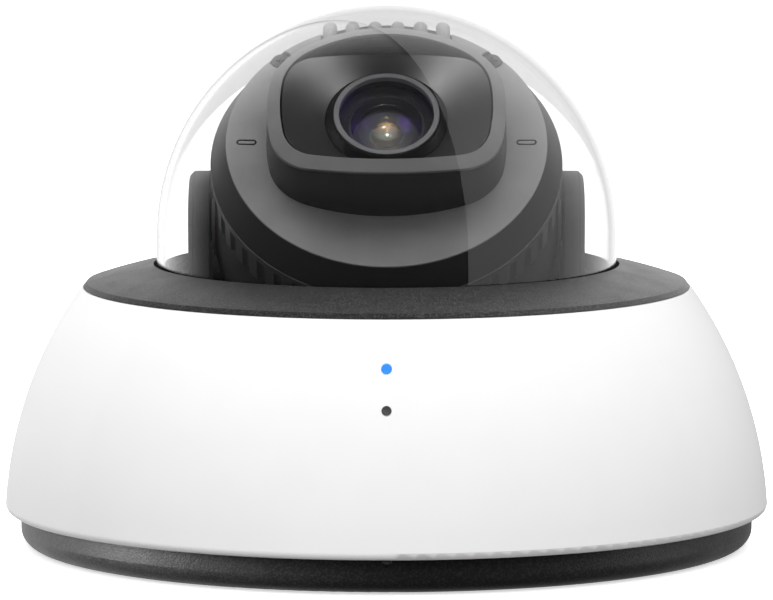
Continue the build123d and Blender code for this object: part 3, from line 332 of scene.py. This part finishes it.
def make_world(white=1.05):
    """Three worlds in one: white where it is seen, a bright wall behind where a surface mirrors it,
    and soft light from above and both sides where it is scattered."""
    world = bpy.data.worlds.new("studio")
    world.use_nodes = True
    scene.world = world
    sky = Nodes(world.node_tree)
    path = sky.node("ShaderNodeLightPath").outputs
    direction = sky.node("ShaderNodeTexCoord").outputs["Generated"]
    spot = sky.node("ShaderNodeSeparateXYZ", vector=direction).outputs

    mirrored = sky.maths("GREATER_THAN", path["Glossy Depth"], 0)
    scattered = sky.maths("GREATER_THAN", path["Diffuse Depth"], 0)
    direct = sky.maths("MAXIMUM", path["Is Camera Ray"], path["Is Transmission Ray"])
    bounced = sky.maths("MAXIMUM", mirrored, scattered)
    seen = sky.maths("SUBTRACT", direct, bounced, clamp=True)
    reflected = sky.maths("SUBTRACT", mirrored, scattered, clamp=True)

    behind = sky.spread(spot["Y"], low=0.06, high=1.2, start=0.1, end=0.8, smooth=True)
    facing = sky.vectors("DOT_PRODUCT", direction, WALL_SIDE).outputs["Value"]
    wall_edge = math.cos(WALL_ANGLE)
    left = sky.spread(facing, 1, WALL_SHARE, wall_edge - WALL_BLUR, wall_edge + WALL_BLUR)
    behind = sky.maths("MULTIPLY", behind, left)

    above = sky.spread(spot["Z"], low=0.02, high=1.2, start=-0.1, end=0.9, smooth=True)
    sideways = sky.maths("ABSOLUTE", spot["X"])
    aside = sky.spread(sideways, low=0.0, high=0.6, start=0.55, end=1.0, smooth=True)
    soft = sky.maths("ADD", above, aside)

    strength = sky.spread(reflected, soft, behind, 0, 1)
    strength = sky.spread(seen, strength, white, 0, 1)
    background = sky.tree.nodes["Background"]
    sky.tree.links.new(strength, background.inputs["Strength"])
    background.inputs["Color"].default_value = (*WHITE, 1)


def make_light(name, place, size, radiance, only, target=CENTRE, colour=WHITE, round_face=False,
               glossy=True, diffuse=True):
    """A softbox of a width and height, whose face has this radiance. It lights the named objects only."""
    width, height = size
    lamp = bpy.data.lights.new(name, "AREA")
    lamp.shape = "DISK" if round_face else "RECTANGLE"
    lamp.size = width
    lamp.size_y = height
    area = width * height * (math.pi / 4 if round_face else 1)
    lamp.energy = radiance * area * 4
    lamp.color = colour
    lamp.cycles.use_multiple_importance_sampling = diffuse or round_face
    light = bpy.data.objects.new(name, lamp)
    scene.collection.objects.link(light)
    light.location = place
    look_at(light, target)
    light.visible_camera = False
    light.visible_transmission = False
    light.visible_glossy = glossy
    light.visible_diffuse = diffuse
    lit = bpy.data.collections.new(name)
    for piece in only:
        lit.objects.link(bpy.data.objects[piece])
    light.light_linking.receiver_collection = lit


def toward(azimuth, elevation, reach):
    """A place seen from the tilt pivot, azimuth in degrees from the front towards +X."""
    turn = math.radians(azimuth)
    rise = math.radians(elevation)
    flat = math.cos(rise)
    return pivot + Vector((flat * math.sin(turn), -flat * math.cos(turn), math.sin(rise))) * reach


def wall_light():
    """The wall at the right in the reflections of the bubble and the trim ring."""
    reach = 0.5
    width = 2 * reach * math.tan(WALL_ANGLE)
    place = CENTRE + WALL_SIDE * reach
    only = ["bubble", "trim_ring"]
    make_light("side_wall", place, (width, width), 0.85, only, round_face=True, diffuse=False)


def shape_lights():
    """Lamps that show the shapes. Those of the skirt and the base are matched to the photograph's greys."""
    shell = ["skirt"]
    others = [name for name in nodes if name not in shell] + ["floor"]
    ceiling = (0, 0, 1.1)
    ceiling_size = (1.4, 1.2)
    make_light("overhead", ceiling, ceiling_size, 4.0, others, glossy=False)
    make_light("shell_overhead", ceiling, ceiling_size, 1.2, shell, glossy=False)
    make_light("shell_front", (0, -1.6, 0.1), (2.0, 0.6), 4.6, shell, glossy=False)

    base = ["base_housing"]
    base_size = (0.3, 0.5)
    base_reach = 0.8
    make_light("base_left", toward(-82, 4, base_reach), base_size, 20.0, base)
    make_light("base_right", toward(86, 4, base_reach), base_size, 2.5, base)


def window_lights():
    """Two lamps that show only as streaks on the window."""
    elevation = 43
    reach = 0.9
    face = (0.16, 0.16)
    for azimuth in (-48, 48):
        place = toward(azimuth, elevation, reach)
        make_light("streak", place, face, 60.0, ["window"], pivot, diffuse=False)


def lens_lights():
    """Small white and coloured lamps that show only on the lens, in place of its coatings' reflections."""
    reach = 0.6
    violet = (0.3, 0.14, 1.0)
    amber = (1.0, 0.6, 0.2)
    teal = (0.2, 0.8, 0.75)
    rows = (
        # node, azimuth, elevation, size, radiance, colour
        ("front_glass", -75, 35, 0.4, 1.2, violet),
        ("front_glass", 72, 40, 0.4, 4.0, violet),
        ("second_glass", -75, 75, 0.1, 400.0, WHITE),
        ("second_glass", 80, 70, 0.1, 400.0, WHITE),
        ("second_glass", 0, 55, 0.2, 60.0, amber),
        ("second_glass", -25, 10, 0.14, 120.0, teal),
        ("second_glass", 30, 8, 0.14, 120.0, teal),
        ("second_glass", 5, 22, 0.05, 2500.0, WHITE),
    )
    for node, azimuth, elevation, size, radiance, colour in rows:
        place = toward(azimuth, elevation, reach)
        make_light("coating", place, (size, size), radiance, [node], pivot, colour, diffuse=False)


def make_camera():
    """The photograph's view, from the front and about 6 degrees above."""
    camera = bpy.data.objects.new("camera", bpy.data.cameras.new("camera"))
    scene.collection.objects.link(camera)
    camera.location = (0, -1.5117, 0.2154)
    look_at(camera, (0, 0, 0.0494))
    camera.data.sensor_width = 36
    camera.data.lens = 348.5
    camera.data.clip_start = 0.05
    camera.data.clip_end = 50
    scene.camera = camera


scene.view_settings.view_transform = "Standard"
make_floor()
make_world()
wall_light()
shape_lights()
window_lights()
lens_lights()
make_camera()
